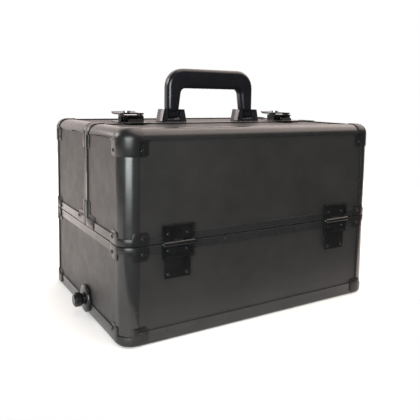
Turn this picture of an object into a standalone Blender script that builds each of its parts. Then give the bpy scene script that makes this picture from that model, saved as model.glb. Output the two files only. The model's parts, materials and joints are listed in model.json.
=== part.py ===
"""Makeup train case: a lower box, two lid halves that swing outwards, and four cantilever trays.

Frame: metres, +Z up, X along the long front, origin at the middle of the underside.
The front lid opens towards -Y and the rear lid towards +Y. Places inside a lid half are given
by (inboard, above): the distances from that half's hinge axis towards the middle and upwards.
"""
import math

import bmesh
import bpy
from mathutils import Matrix, Vector

MM = 0.001
GAP = 0.3 * MM

# Case body
WIDTH = 350 * MM
DEPTH = 250 * MM
HEIGHT = 226 * MM
EDGE_RADIUS = 18 * MM
TOP_RADIUS = 11.5 * MM
FOOT_RADIUS = 3 * MM
SEAM_Z = 106 * MM
SPLIT_Y = -11.5 * MM
SEAM_GAP = 1 * MM
EDGE_SEGMENTS = 6

# Sheet and panel thicknesses
FRAME_WALL = 1.2 * MM
PANEL_RECESS = 1.5 * MM
PANEL_THICKNESS = 3 * MM

# Frame members
SEAM_RAIL = 9 * MM
BOTTOM_RAIL = 15 * MM
BOTTOM_FLANGE = 12 * MM
SPLIT_RAIL = 4 * MM

# Hinges
HINGE_X = 113 * MM
HINGE_STANDOFF = 4 * MM
HINGE_Y = DEPTH / 2 + HINGE_STANDOFF
HINGE_HALF = 18.5 * MM
HINGE_REACH = 38 * MM
HINGE_TAIL_HALF = 15.5 * MM
BASE_LIP = 16.5 * MM
LID_LIP = 20 * MM
LIP_HEIGHT = 2.2 * MM
LIP_PROUD = 2.4 * MM
RIB_WIDTH = 1.8 * MM
RIB_PROUD = 1.6 * MM
KNUCKLE_END = 6.2 * MM
KNUCKLE_RADIUS = 3 * MM
KNUCKLE_BORE = 1.6 * MM
HINGE_PIN_RADIUS = 1.3 * MM
LEAF_SHEET = 1.2 * MM

# Cantilever linkage, as (inboard, above) from the hinge axis
LOWER_TRAY_PIN = (30 * MM, 30 * MM)
UPPER_TRAY_PIN = (58 * MM, 58 * MM)
LINK_OFFSET = (40 * MM, -10 * MM)
LINK_HALF_WIDTH = 5 * MM
LINK_INNER_X = 166.3 * MM
LINK_OUTER_X = 167.8 * MM
STUD_RADIUS = 2.5 * MM
STUD_HOLE = 2.8 * MM
STUD_SHOULDER = 4.5 * MM
STRIP_SHEET = 1.2 * MM
STRIP_HALF_WIDTH = 6 * MM

# Trays
TRAY_HALF_LENGTH = 163 * MM
TRAY_PLATE_X = 164.8 * MM
TRAY_WALL = 2 * MM
LOWER_TRAY_BOX = (22 * MM, 12 * MM, 42 * MM)
UPPER_TRAY_BOX = (18 * MM, 46 * MM, 95 * MM)
TRAY_SPLIT_CLEARANCE = 5 * MM
PARTITION_X = 55 * MM
PARTITION_THICKNESS = 1.5 * MM
PARTITION_DROP = 6 * MM

# Carrying handle
HANDLE_X = 57.5 * MM
HANDLE_Y = 1 * MM
HANDLE_PIVOT_Z = HEIGHT + 10.5 * MM
HANDLE_TOP_Z = 295 * MM
HANDLE_GRIP_BOTTOM_Z = 269.5 * MM
HANDLE_LEG_WIDTH = 16 * MM
HANDLE_THICKNESS = 17 * MM
HANDLE_CORNER = 24 * MM
HANDLE_INNER_CORNER = 7 * MM
HANDLE_LEG_TAPER = 3 * MM
HANDLE_PIN_RADIUS = 2.2 * MM
HANDLE_BEVEL = 5 * MM
BRACKET_HALF_DEPTH = 9 * MM
BRACKET_HALF_FOOT = 18 * MM
BRACKET_HALF_TOP = 14.5 * MM
BRACKET_TOP_Z = HEIGHT + 16.5 * MM
BRACKET_SILL_TOP = HEIGHT + 5.5 * MM
BRACKET_SILL = 1.2 * MM

# Draw latches, as (out, up): from the split towards the rear, and above the case's top
LATCH_X = 116 * MM
LEVER_PIVOT = (5.5 * MM, 6 * MM)
HOOK_PIVOT = (9.5 * MM, 6 * MM)
LOCK_OUT = 19.5 * MM
PLATE_TOP = GAP + 1.2 * MM
PLATE_HALF = 17 * MM
PLATE_REACH = 29 * MM
LEVER_HALF = 15.5 * MM
LEVER_LOW = 10 * MM
LEVER_HIGH = 12 * MM
LEVER_BEND = 26 * MM
LEVER_TIP = 31.5 * MM
TIP_LIFT = 1.4 * MM
HOOK_HALF = 9 * MM
STRIKE_REACH = 22 * MM
FITTING_FOOT_TOP = HEIGHT + PLATE_TOP

# Strap studs on the ends
STRAP_STUD_Y = SPLIT_Y
STRAP_STUD_Z = 17.5 * MM
STRAP_STUD_RADIUS = 16.5 * MM

CASE = "makeup_train_case"


# ---------------------------------------------------------------- scene and materials

def clear_scene():
    for item in list(bpy.data.objects):
        bpy.data.objects.remove(item, do_unlink=True)


def make_collection(name):
    collection = bpy.data.collections.new(name)
    bpy.context.scene.collection.children.link(collection)
    return collection


def make_material(name, colour, roughness, metallic):
    material = bpy.data.materials.new(name)
    material.use_nodes = True
    shader = material.node_tree.nodes["Principled BSDF"]
    shader.inputs["Base Color"].default_value = (*colour, 1.0)
    shader.inputs["Roughness"].default_value = roughness
    shader.inputs["Metallic"].default_value = metallic
    return material


FINISHES = {
    "panel": ((0.035, 0.034, 0.034), 0.55, 0.0),
    "frame": ((0.045, 0.045, 0.047), 0.35, 0.6),
    "hardware": ((0.02, 0.02, 0.022), 0.25, 0.8),
    "steel": ((0.35, 0.35, 0.36), 0.35, 1.0),
    "plastic": ((0.02, 0.02, 0.022), 0.35, 0.0),
    "tray": ((0.03, 0.03, 0.03), 0.6, 0.0),
    "foam": ((0.02, 0.02, 0.02), 0.95, 0.0),
}


# ---------------------------------------------------------------- mesh helpers

def mesh_object(name, build):
    """A new object whose mesh is filled by build(bm), not yet in the case's collection."""
    mesh = bpy.data.meshes.new(name)
    bm = bmesh.new()
    build(bm)
    bmesh.ops.recalc_face_normals(bm, faces=bm.faces[:])
    bm.to_mesh(mesh)
    bm.free()
    shape = bpy.data.objects.new(name, mesh)
    bpy.context.scene.collection.objects.link(shape)
    return shape


def box(low, high, name="box"):
    """A box between two opposite corners."""
    low = Vector(low)
    high = Vector(high)
    size = high - low
    place = Matrix.Translation((low + high) / 2) @ Matrix.Diagonal((abs(size.x), abs(size.y), abs(size.z), 1))
    return mesh_object(name, lambda bm: bmesh.ops.create_cube(bm, size=1.0, matrix=place))


def cylinder(centre, axis, radius, length, sides=12, name="cylinder"):
    turn = Vector((0, 0, 1)).rotation_difference(Vector(axis)).to_matrix().to_4x4()
    place = Matrix.Translation(Vector(centre)) @ turn

    def build(bm):
        bmesh.ops.create_cone(bm, cap_ends=True, segments=sides, radius1=radius, radius2=radius,
                              depth=length, matrix=place)

    return mesh_object(name, build)


def settle(shape):
    """Replace an object's mesh by its evaluated one, and drop its modifiers."""
    bpy.context.view_layer.update()
    evaluated = shape.evaluated_get(bpy.context.evaluated_depsgraph_get())
    mesh = bpy.data.meshes.new_from_object(evaluated)
    shape.modifiers.clear()
    shape.data = mesh
    return shape


def boolean(shape, other, operation):
    modifier = shape.modifiers.new(operation.lower(), "BOOLEAN")
    modifier.object = other
    modifier.operation = operation
    modifier.solver = "EXACT"
    settle(shape)
    bpy.data.objects.remove(other, do_unlink=True)
    return shape


def united(shapes):
    first = shapes[0]
    for other in shapes[1:]:
        boolean(first, other, "UNION")
    return first


def cut(shape, cutters):
    for cutter in cutters:
        boolean(shape, cutter, "DIFFERENCE")
    return shape


def plate(outline, holes, axis, start, end):
    """A flat outline with round holes, extruded along X or Y from start to end.

    Along X the outline's points are (y, z), and along Y they are (x, z).
    A hole is (first, second, radius).
    """
    curve = bpy.data.curves.new("plate", "CURVE")
    curve.dimensions = "2D"
    curve.fill_mode = "BOTH"
    curve.extrude = abs(end - start) / 2
    loops = [outline] + [circle(first, second, radius, 12) for first, second, radius in holes]
    for loop in loops:
        spline = curve.splines.new("POLY")
        spline.points.add(len(loop) - 1)
        for point, (first, second) in zip(spline.points, loop):
            point.co = (first, second, 0, 1)
        spline.use_cyclic_u = True
    drawn = bpy.data.objects.new("plate", curve)
    bpy.context.scene.collection.objects.link(drawn)
    middle = (start + end) / 2
    if axis == "X":
        drawn.matrix_world = Matrix(((0, 0, 1, middle), (1, 0, 0, 0), (0, 1, 0, 0), (0, 0, 0, 1)))
    else:
        drawn.matrix_world = Matrix(((1, 0, 0, 0), (0, 0, -1, middle), (0, 1, 0, 0), (0, 0, 0, 1)))
    bpy.context.view_layer.update()
    evaluated = drawn.evaluated_get(bpy.context.evaluated_depsgraph_get())
    flat = bpy.data.meshes.new_from_object(evaluated)
    place = drawn.matrix_world.copy()
    bpy.data.objects.remove(drawn, do_unlink=True)

    def build(bm):
        bm.from_mesh(flat)
        bmesh.ops.remove_doubles(bm, verts=bm.verts[:], dist=0.00001)
        bmesh.ops.transform(bm, matrix=place, verts=bm.verts[:])

    return mesh_object("plate", build)


def circle(first, second, radius, sides, start=0.0, sweep=2 * math.pi):
    """Points on an arc; a full circle leaves out its repeated last point."""
    steps = sides if sweep >= 2 * math.pi else sides + 1
    return [(first + radius * math.cos(start + sweep * step / sides),
             second + radius * math.sin(start + sweep * step / sides)) for step in range(steps)]


def stadium(start, end, radius, sides=8):
    """The outline of a bar with round ends, from one centre to the other."""
    angle = math.atan2(end[1] - start[1], end[0] - start[0])
    far = circle(end[0], end[1], radius, sides, angle - math.pi / 2, math.pi * 0.9999)
    near = circle(start[0], start[1], radius, sides, angle + math.pi / 2, math.pi * 0.9999)
    return far + near


def turned(profile, base, axis, segments=20):
    """A turned solid: profile runs from the far end's centre down to the base, as (radius, height)."""
    mesh = bpy.data.meshes.new("turned")
    points = [(radius, 0, height) for radius, height in profile]
    mesh.from_pydata(points, [(step, step + 1) for step in range(len(points) - 1)], [])
    shape = bpy.data.objects.new("turned", mesh)
    bpy.context.scene.collection.objects.link(shape)
    screw = shape.modifiers.new("turn", "SCREW")
    screw.steps = segments
    screw.render_steps = segments
    screw.use_merge_vertices = True
    screw.merge_threshold = 0.00005
    turn = Vector((0, 0, 1)).rotation_difference(Vector(axis)).to_matrix().to_4x4()
    settle(shape)
    shape.data.transform(Matrix.Translation(Vector(base)) @ turn)
    return shape


# ---------------------------------------------------------------- case envelope

def envelope(grow):
    """The case's outer form, grown by a distance: round posts and top edges, small radius below."""
    low = Vector((-WIDTH / 2 - grow, -DEPTH / 2 - grow, -grow))
    high = Vector((WIDTH / 2 + grow, DEPTH / 2 + grow, HEIGHT + grow))
    form = box(low, high)
    bm = bmesh.new()
    bm.from_mesh(form.data)
    floor = low.z + 0.01 * MM
    ceiling = high.z - 0.01 * MM
    posts = [edge for edge in bm.edges if abs(edge.verts[0].co.z - edge.verts[1].co.z) > 1 * MM]
    bmesh.ops.bevel(bm, geom=posts, offset=EDGE_RADIUS + grow, offset_type="OFFSET",
                    segments=EDGE_SEGMENTS, profile=0.5, affect="EDGES")
    top_edges = [edge for edge in bm.edges if min(vert.co.z for vert in edge.verts) > ceiling]
    bmesh.ops.bevel(bm, geom=top_edges, offset=TOP_RADIUS + grow, offset_type="OFFSET",
                    segments=EDGE_SEGMENTS, profile=0.5, affect="EDGES")
    foot_edges = [edge for edge in bm.edges if max(vert.co.z for vert in edge.verts) < floor]
    bmesh.ops.bevel(bm, geom=foot_edges, offset=FOOT_RADIUS + grow, offset_type="OFFSET",
                    segments=2, profile=0.5, affect="EDGES")
    bm.to_mesh(form.data)
    bm.free()
    return form


def shell(outer, inner):
    return boolean(envelope(outer), envelope(inner), "DIFFERENCE")


def cut_from(source, boxes):
    """The part of a shell inside the union of some boxes."""
    region = united([box(low, high) for low, high in boxes])
    piece = bpy.data.objects.new("piece", source.data.copy())
    bpy.context.scene.collection.objects.link(piece)
    return boolean(piece, region, "INTERSECT")


# ---------------------------------------------------------------- assembly bookkeeping

class Case:
    """Keeps the case's collection, its materials and its frame shell, and names its pieces."""

    def __init__(self):
        self.collection = make_collection(CASE)
        self.materials = {name: make_material(name, *values) for name, values in FINISHES.items()}
        self.frame_shell = shell(0.0, -FRAME_WALL)

    def empty(self, name, place):
        pivot = bpy.data.objects.new(name, None)
        pivot.location = place
        self.collection.objects.link(pivot)
        bpy.context.view_layer.update()
        return pivot

    def add(self, name, shape, finish, pivot=None, smooth=False):
        """Name a finished solid, give it its material, and hang it on its joint's empty."""
        shape.name = name
        shape.data.name = name
        for owner in list(shape.users_collection):
            owner.objects.unlink(shape)
        self.collection.objects.link(shape)
        material = self.materials[finish].copy()
        material.name = name
        shape.data.materials.clear()
        shape.data.materials.append(material)
        if smooth:
            shape.data.shade_smooth()
            shape.data.set_sharp_from_angle(angle=math.radians(35))
        if pivot is not None:
            shape.parent = pivot
            shape.matrix_parent_inverse = pivot.matrix_world.inverted()
        return shape

    def finish(self):
        bpy.data.objects.remove(self.frame_shell, do_unlink=True)


# ---------------------------------------------------------------- lower box

POST_X = WIDTH / 2 - EDGE_RADIUS
POST_Y = DEPTH / 2 - EDGE_RADIUS
PANEL_X = WIDTH / 2 - PANEL_RECESS
PANEL_Y = DEPTH / 2 - PANEL_RECESS
PANEL_INNER_X = PANEL_X - PANEL_THICKNESS
BASE_TOP = SEAM_Z - SEAM_GAP / 2
LID_BOTTOM = SEAM_Z + SEAM_GAP / 2
KNEE_Z = HEIGHT - TOP_RADIUS
FLOOR_TOP = PANEL_RECESS + PANEL_THICKNESS
PANEL_TUCK = 0.5 * MM
FAR = 0.3
ENDS = (("left", -1), ("right", 1))
HALVES = (("front", -1), ("rear", 1))


def build_base(case):
    frame = cut_from(case.frame_shell, [((-FAR, -FAR, -FAR), (FAR, FAR, BASE_TOP))])
    flange_x = WIDTH / 2 - BOTTOM_FLANGE
    flange_y = DEPTH / 2 - BOTTOM_FLANGE
    window_top = BASE_TOP - SEAM_RAIL
    windows = [
        box((-POST_X, -FAR, BOTTOM_RAIL), (POST_X, FAR, window_top)),
        box((-FAR, -POST_Y, BOTTOM_RAIL), (FAR, POST_Y, window_top)),
        box((-flange_x, -flange_y, -FAR), (flange_x, flange_y, FLOOR_TOP)),
    ]
    case.add("base_frame", cut(frame, windows), "frame", smooth=True)

    floor = boolean(envelope(-PANEL_RECESS), box((-FAR, -FAR, 0), (FAR, FAR, FLOOR_TOP)), "INTERSECT")
    case.add("base_floor_panel", floor, "panel")
    wall_low = FLOOR_TOP + GAP
    wall_high = BASE_TOP - GAP
    reach_x = POST_X + PANEL_TUCK
    reach_y = POST_Y + PANEL_TUCK
    for half, side in HALVES:
        outer = side * PANEL_Y
        inner = side * (PANEL_Y - PANEL_THICKNESS)
        wall = box((-reach_x, inner, wall_low), (reach_x, outer, wall_high))
        case.add("base_" + half + "_panel", wall, "panel")
    for end, sign in ENDS:
        wall = box((sign * PANEL_INNER_X, -reach_y, wall_low), (sign * PANEL_X, reach_y, wall_high))
        case.add("base_" + end + "_panel", wall, "panel")

    pad_x = WIDTH / 2 - 12 * MM
    pad_y = DEPTH / 2 - 12 * MM
    pad_low = FLOOR_TOP + GAP
    case.add("base_floor_pad", box((-pad_x, -pad_y, pad_low), (pad_x, pad_y, pad_low + 2 * MM)), "foam")


def build_strap_studs(case):
    profile = [(0, 16.0), (5.8, 16.0), (8.4, 14.2), (8.6, 8.6), (7.6, 7.2), (6.4, 6.8), (6.4, 4.6),
               (12.5, 4.6), (16.0, 3.0), (16.5, 2.0), (16.5, 0.3), (0, 0.3)]
    scaled = [(radius * MM, height * MM) for radius, height in profile]
    for end, sign in ENDS:
        base = (sign * WIDTH / 2, STRAP_STUD_Y, STRAP_STUD_Z)
        case.add(end + "_strap_stud", turned(scaled, base, (sign, 0, 0)), "hardware", smooth=True)


# ---------------------------------------------------------------- hinges

def hinge_bars(x, side, above, leaf_reach, lip):
    """A leaf's sheet, its rolled lip and its two side ribs, as boxes above or below the axis."""
    sheet_out = DEPTH / 2 + GAP + LEAF_SHEET
    sheet_in = DEPTH / 2 + GAP

    def part(x_low, x_high, out_low, out_high, up_low, up_high):
        ys = sorted((side * out_low, side * out_high))
        zs = sorted((SEAM_Z + above * up_low, SEAM_Z + above * up_high))
        return box((x + x_low, ys[0], zs[0]), (x + x_high, ys[1], zs[1]))

    sheet_low = KNUCKLE_RADIUS + 0.4 * MM
    rib_low = sheet_low + 1 * MM
    bars = [part(-HINGE_HALF, HINGE_HALF, sheet_in, sheet_out, sheet_low, lip)]
    bars.append(part(-HINGE_HALF, HINGE_HALF, sheet_in, sheet_out + LIP_PROUD, lip - LIP_HEIGHT, lip))
    for sign in (-1, 1):
        ends = sorted((sign * (HINGE_HALF - RIB_WIDTH), sign * HINGE_HALF))
        bars.append(part(ends[0], ends[1], sheet_in, sheet_out + RIB_PROUD, rib_low, lip - 1 * MM))
    if leaf_reach > lip:
        bars.append(part(-HINGE_TAIL_HALF, HINGE_TAIL_HALF, sheet_in, sheet_out, lip - 1 * MM, leaf_reach))
    return bars


def hinge_knuckle(x_low, x_high, side, above):
    """A stretch of barrel on the axis, with the web that ties it to its leaf."""
    middle = (x_low + x_high) / 2
    length = x_high - x_low
    barrel = cylinder((middle, side * HINGE_Y, SEAM_Z), (1, 0, 0), KNUCKLE_RADIUS, length, 12)
    ys = sorted((side * (DEPTH / 2 + GAP), side * (HINGE_Y - 0.6 * MM)))
    zs = sorted((SEAM_Z + above * 1.0 * MM, SEAM_Z + above * 3.8 * MM))
    web = box((x_low, ys[0], zs[0]), (x_high, ys[1], zs[1]))
    return barrel, web


def hinge_leaf(x, side, above, leaf_reach, lip, stretches):
    parts = hinge_bars(x, side, above, leaf_reach, lip)
    for low, high in stretches:
        parts.extend(hinge_knuckle(x + low, x + high, side, above))
    leaf = united(parts)
    bore = cylinder((x, side * HINGE_Y, SEAM_Z), (1, 0, 0), KNUCKLE_BORE, 3 * HINGE_HALF, 10)
    return cut(leaf, [bore])


def build_hinges(case, lid_pivots):
    middle = [(GAP - KNUCKLE_END, KNUCKLE_END - GAP)]
    outer = [(-HINGE_HALF, -KNUCKLE_END), (KNUCKLE_END, HINGE_HALF)]
    for half, side in HALVES:
        for end, sign in ENDS:
            name = half + "_" + end + "_hinge_"
            x = sign * HINGE_X
            case.add(name + "base_leaf", hinge_leaf(x, side, -1, HINGE_REACH, BASE_LIP, outer), "hardware")
            case.add(name + "lid_leaf", hinge_leaf(x, side, 1, 0, LID_LIP, middle), "hardware",
                     lid_pivots[side])
            pin = cylinder((x, side * HINGE_Y, SEAM_Z), (1, 0, 0), HINGE_PIN_RADIUS,
                           2 * HINGE_HALF + 1 * MM, 10)
            case.add(name + "pin", pin, "steel")


# ---------------------------------------------------------------- lid halves

def split_face(side):
    """Where a lid half ends at the split."""
    return SPLIT_Y + side * SEAM_GAP / 2


def build_lid(case, half, side, pivot):
    label = half + "_lid_"
    split = split_face(side)
    hoop_edge = split + side * SPLIT_RAIL
    knee_y = side * POST_Y
    window_low = LID_BOTTOM + SEAM_RAIL
    frame = cut_from(case.frame_shell, [((-FAR, split, LID_BOTTOM), (FAR, side * FAR, FAR))])
    windows = [
        box((-POST_X, -FAR, window_low), (POST_X, FAR, KNEE_Z)),
        box((-FAR, hoop_edge, window_low), (FAR, knee_y, KNEE_Z)),
        box((-POST_X, hoop_edge, KNEE_Z - 1 * MM), (POST_X, knee_y, FAR)),
    ]
    case.add(label + "frame", cut(frame, windows), "frame", pivot, smooth=True)

    reach_x = POST_X + PANEL_TUCK
    reach_z = KNEE_Z + PANEL_TUCK
    panel_low = LID_BOTTOM + GAP
    near = split + side * GAP
    far = side * (POST_Y + PANEL_TUCK)
    wall = box((-reach_x, side * PANEL_Y, panel_low), (reach_x, side * (PANEL_Y - PANEL_THICKNESS), reach_z))
    case.add(label + "wall_panel", wall, "panel", pivot)
    top_z = HEIGHT - PANEL_RECESS
    top = box((-reach_x, near, top_z - PANEL_THICKNESS), (reach_x, far, top_z))
    case.add(label + "top_panel", top, "panel", pivot)
    for end, sign in ENDS:
        wall = box((sign * PANEL_INNER_X, near, panel_low), (sign * PANEL_X, far, reach_z))
        case.add(label + end + "_panel", wall, "panel", pivot)


# ---------------------------------------------------------------- cantilever trays and links

def linkage_point(side, inboard_above, extra=(0, 0)):
    """World (y, z) of a place given from the hinge axis."""
    inboard = inboard_above[0] + extra[0]
    above = inboard_above[1] + extra[1]
    return side * (HINGE_Y - inboard), SEAM_Z + above


def x_stud(sign, place, tip, shoulder, root):
    """A stepped stud along X on one end wall: thin from tip to shoulder, thick from there to root."""
    y, z = place
    profile = [(0, root - tip), (STUD_RADIUS, root - tip), (STUD_RADIUS, root - shoulder),
               (STUD_SHOULDER, root - shoulder), (STUD_SHOULDER, 0), (0, 0)]
    return turned(profile, (sign * root, y, z), (-sign, 0, 0), 12)


def build_tray(case, name, side, pin, tray_box, pivot):
    front_gap, low, high = tray_box
    ys = sorted((side * (HINGE_Y - front_gap), split_face(side) + side * TRAY_SPLIT_CLEARANCE))
    low_z = SEAM_Z + low
    high_z = SEAM_Z + high
    body = box((-TRAY_HALF_LENGTH, ys[0], low_z), (TRAY_HALF_LENGTH, ys[1], high_z))
    inner_x = TRAY_HALF_LENGTH - TRAY_WALL
    rooms = [(-inner_x, -PARTITION_X - PARTITION_THICKNESS / 2),
             (-PARTITION_X + PARTITION_THICKNESS / 2, PARTITION_X - PARTITION_THICKNESS / 2),
             (PARTITION_X + PARTITION_THICKNESS / 2, inner_x)]
    hollows = [box((start, ys[0] + TRAY_WALL, low_z + TRAY_WALL), (end, ys[1] - TRAY_WALL, FAR))
               for start, end in rooms]
    hollows.append(box((-inner_x, ys[0] + TRAY_WALL, high_z - PARTITION_DROP),
                       (inner_x, ys[1] - TRAY_WALL, FAR)))
    body = cut(body, hollows)
    lid_y, lid_z = linkage_point(side, pin)
    link_y, link_z = linkage_point(side, pin, LINK_OFFSET)
    ear_low = link_z - 5 * MM
    ear_high = lid_z + 8 * MM
    ear_y = sorted((lid_y + side * 8 * MM, link_y - side * 8 * MM))
    outline = [(ear_y[0], ear_low), (ear_y[1], ear_low), (ear_y[1], ear_high), (ear_y[0], ear_high)]
    parts = [body]
    for sign in (-1, 1):
        ear = plate(outline, [], "X", sign * (TRAY_HALF_LENGTH - 0.5 * MM), sign * TRAY_PLATE_X)
        stud = x_stud(-sign, (link_y, link_z), -168.6 * MM, -166.0 * MM, -(TRAY_PLATE_X - 0.5 * MM))
        parts.extend((ear, stud))
    tray = united(parts)
    holes = []
    for sign in (-1, 1):
        holes.append(cylinder((sign * (TRAY_HALF_LENGTH + 2 * MM), lid_y, lid_z), (1, 0, 0), STUD_HOLE,
                              4 * MM, 12))
    case.add(name, cut(tray, holes), "tray", pivot)


def pivot_strip(sign, outline, places):
    """A steel strip on the inside of an end panel, with a stepped stud at each place."""
    root = PANEL_INNER_X - GAP
    parts = [plate(outline, [], "X", sign * (root - STRIP_SHEET), sign * root)]
    for place, tip, shoulder in places:
        parts.append(x_stud(sign, place, tip, shoulder, root - STRIP_SHEET / 2))
    return united(parts)


def build_linkage(case, half, side, lid_pivot):
    trays = (("lower", LOWER_TRAY_PIN, LOWER_TRAY_BOX), ("upper", UPPER_TRAY_PIN, UPPER_TRAY_BOX))
    lid_pins = []
    for level, pin, tray_box in trays:
        y, z = linkage_point(side, pin)
        lid_pins.append((y, z))
        name = half + "_" + level + "_tray"
        pivot = case.empty(name + "_pivot", (0, y, z))
        build_tray(case, name, side, pin, tray_box, pivot)

    foot = linkage_point(side, (0, 0), LINK_OFFSET)
    lower = linkage_point(side, LOWER_TRAY_PIN, LINK_OFFSET)
    upper = linkage_point(side, UPPER_TRAY_PIN, LINK_OFFSET)
    outline = stadium(foot, upper, LINK_HALF_WIDTH)
    holes = [(point[0], point[1], STUD_HOLE) for point in (foot, lower, upper)]
    lid_outline = stadium(lid_pins[0], lid_pins[1], STRIP_HALF_WIDTH)
    for end, sign in ENDS:
        name = half + "_" + end + "_link"
        pivot = case.empty(name + "_pivot", (0, foot[0], foot[1]))
        case.add(name, plate(outline, holes, "X", sign * LINK_INNER_X, sign * LINK_OUTER_X), "steel", pivot)
        places = [(pin, TRAY_HALF_LENGTH + GAP, TRAY_PLATE_X + GAP) for pin in lid_pins]
        case.add(half + "_" + end + "_tray_strip", pivot_strip(sign, lid_outline, places), "steel", lid_pivot)


def build_link_strips(case):
    """The strips inside the lower box's ends, which carry the feet of the links."""
    feet = [linkage_point(side, (0, 0), LINK_OFFSET) for half, side in HALVES]
    outline = stadium(feet[0], feet[1], STRIP_HALF_WIDTH)
    places = [(foot, LINK_INNER_X - GAP, LINK_OUTER_X + GAP) for foot in feet]
    for end, sign in ENDS:
        case.add("base_" + end + "_link_strip", pivot_strip(sign, outline, places), "steel")


# ---------------------------------------------------------------- handle

def handle_outline():
    """Front view of the grip down to the pivots, as (x, z): outer side, then inner side back."""
    outer_x = HANDLE_X + HANDLE_LEG_WIDTH / 2
    inner_x = HANDLE_X - HANDLE_LEG_WIDTH / 2
    corner_z = HANDLE_TOP_Z - HANDLE_CORNER
    inner_z = HANDLE_GRIP_BOTTOM_Z - HANDLE_INNER_CORNER
    inner_x_centre = inner_x - HANDLE_INNER_CORNER - HANDLE_LEG_TAPER
    points = [(outer_x, HANDLE_PIVOT_Z)]
    points += circle(outer_x - HANDLE_CORNER, corner_z, HANDLE_CORNER, 6, 0, math.pi / 2)
    points += circle(-outer_x + HANDLE_CORNER, corner_z, HANDLE_CORNER, 6, math.pi / 2, math.pi / 2)
    points += [(-outer_x, HANDLE_PIVOT_Z), (-inner_x, HANDLE_PIVOT_Z)]
    for x, start in ((-inner_x_centre, math.pi / 2), (inner_x_centre, 0)):
        points += reversed(circle(x, inner_z, HANDLE_INNER_CORNER, 3, start, math.pi / 2))
    points.append((inner_x, HANDLE_PIVOT_Z))
    return points


def build_handle_bracket(x):
    """A foot plate, a leaning cheek on each side of the leg, a low sill in front, and the pivot pin."""
    front_y = HANDLE_Y - BRACKET_HALF_DEPTH
    back_y = HANDLE_Y + BRACKET_HALF_DEPTH
    cheek_in = HANDLE_LEG_WIDTH / 2 + 1.5 * MM
    low = FITTING_FOOT_TOP - 0.6 * MM
    parts = [box((x - BRACKET_HALF_FOOT, front_y, HEIGHT + GAP),
                 (x + BRACKET_HALF_FOOT, back_y, FITTING_FOOT_TOP))]
    for cheek in (-1, 1):
        outline = [(x + cheek * cheek_in, low), (x + cheek * BRACKET_HALF_FOOT, low),
                   (x + cheek * BRACKET_HALF_TOP, BRACKET_TOP_Z), (x + cheek * cheek_in, BRACKET_TOP_Z)]
        parts.append(plate(outline, [], "Y", front_y, back_y))
    parts.append(box((x - cheek_in - 1 * MM, front_y, low),
                     (x + cheek_in + 1 * MM, front_y + BRACKET_SILL, BRACKET_SILL_TOP)))
    pivot = (x, HANDLE_Y, HANDLE_PIVOT_Z)
    parts.append(cylinder(pivot, (1, 0, 0), HANDLE_PIN_RADIUS, 2 * cheek_in + 6 * MM, 12))
    return united(parts)


def build_handle(case, lid_pivot):
    pivot = case.empty("handle_pivot", (0, HANDLE_Y, HANDLE_PIVOT_Z))
    half = HANDLE_THICKNESS / 2
    grip = plate(handle_outline(), [], "Y", HANDLE_Y - half, HANDLE_Y + half)
    bevel = grip.modifiers.new("round", "BEVEL")
    bevel.width = HANDLE_BEVEL
    bevel.segments = 2
    bevel.limit_method = "ANGLE"
    bevel.angle_limit = math.radians(60)
    settle(grip)
    parts = [grip]
    for sign in (-1, 1):
        parts.append(cylinder((sign * HANDLE_X, HANDLE_Y, HANDLE_PIVOT_Z), (1, 0, 0), half,
                              HANDLE_LEG_WIDTH, 20))
    grip = united(parts)
    bores = []
    for end, sign in ENDS:
        bores.append(cylinder((sign * HANDLE_X, HANDLE_Y, HANDLE_PIVOT_Z), (1, 0, 0), HANDLE_PIN_RADIUS + GAP,
                              HANDLE_LEG_WIDTH + 4 * MM, 12))
        bracket = build_handle_bracket(sign * HANDLE_X)
        case.add("handle_" + end + "_bracket", bracket, "plastic", lid_pivot)
    case.add("handle_grip", cut(grip, bores), "plastic", pivot, smooth=True)


# ---------------------------------------------------------------- draw latches

def latch_place(out, up):
    """A latch place as (y, z)."""
    return SPLIT_Y + out, HEIGHT + up


def latch_box(x, half, out_low, out_high, up_low, up_high):
    return box((x - half, *latch_place(out_low, up_low)), (x + half, *latch_place(out_high, up_high)))


def latch_plate(x_low, x_high, places):
    """A side view given as latch places, drawn out along X."""
    return plate([latch_place(*place) for place in places], [], "X", x_low, x_high)


def latch_axle(x, place, radius, length):
    return cylinder((x, *latch_place(*place)), (1, 0, 0), radius, length, 12)


def build_latch_base(x):
    """A foot plate, a riser under the lever, and an ear with a hole on each side."""
    low = PLATE_TOP - 0.6 * MM
    out, up = LEVER_PIVOT
    radius = 3.5 * MM
    parts = [latch_box(x, PLATE_HALF, 2 * MM, PLATE_REACH, GAP, PLATE_TOP)]
    parts.append(latch_box(x, 9 * MM, 15 * MM, 25 * MM, low, LEVER_LOW - 1 * MM))
    ear = [(out - radius, low), (out + radius, low)] + circle(out, up, radius, 8, 0, math.pi)
    for sign in (-1, 1):
        parts.append(latch_plate(x + sign * 14 * MM, x + sign * LEVER_HALF, ear))
    return cut(united(parts), [latch_axle(x, LEVER_PIVOT, 1.8 * MM, 40 * MM)])


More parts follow.
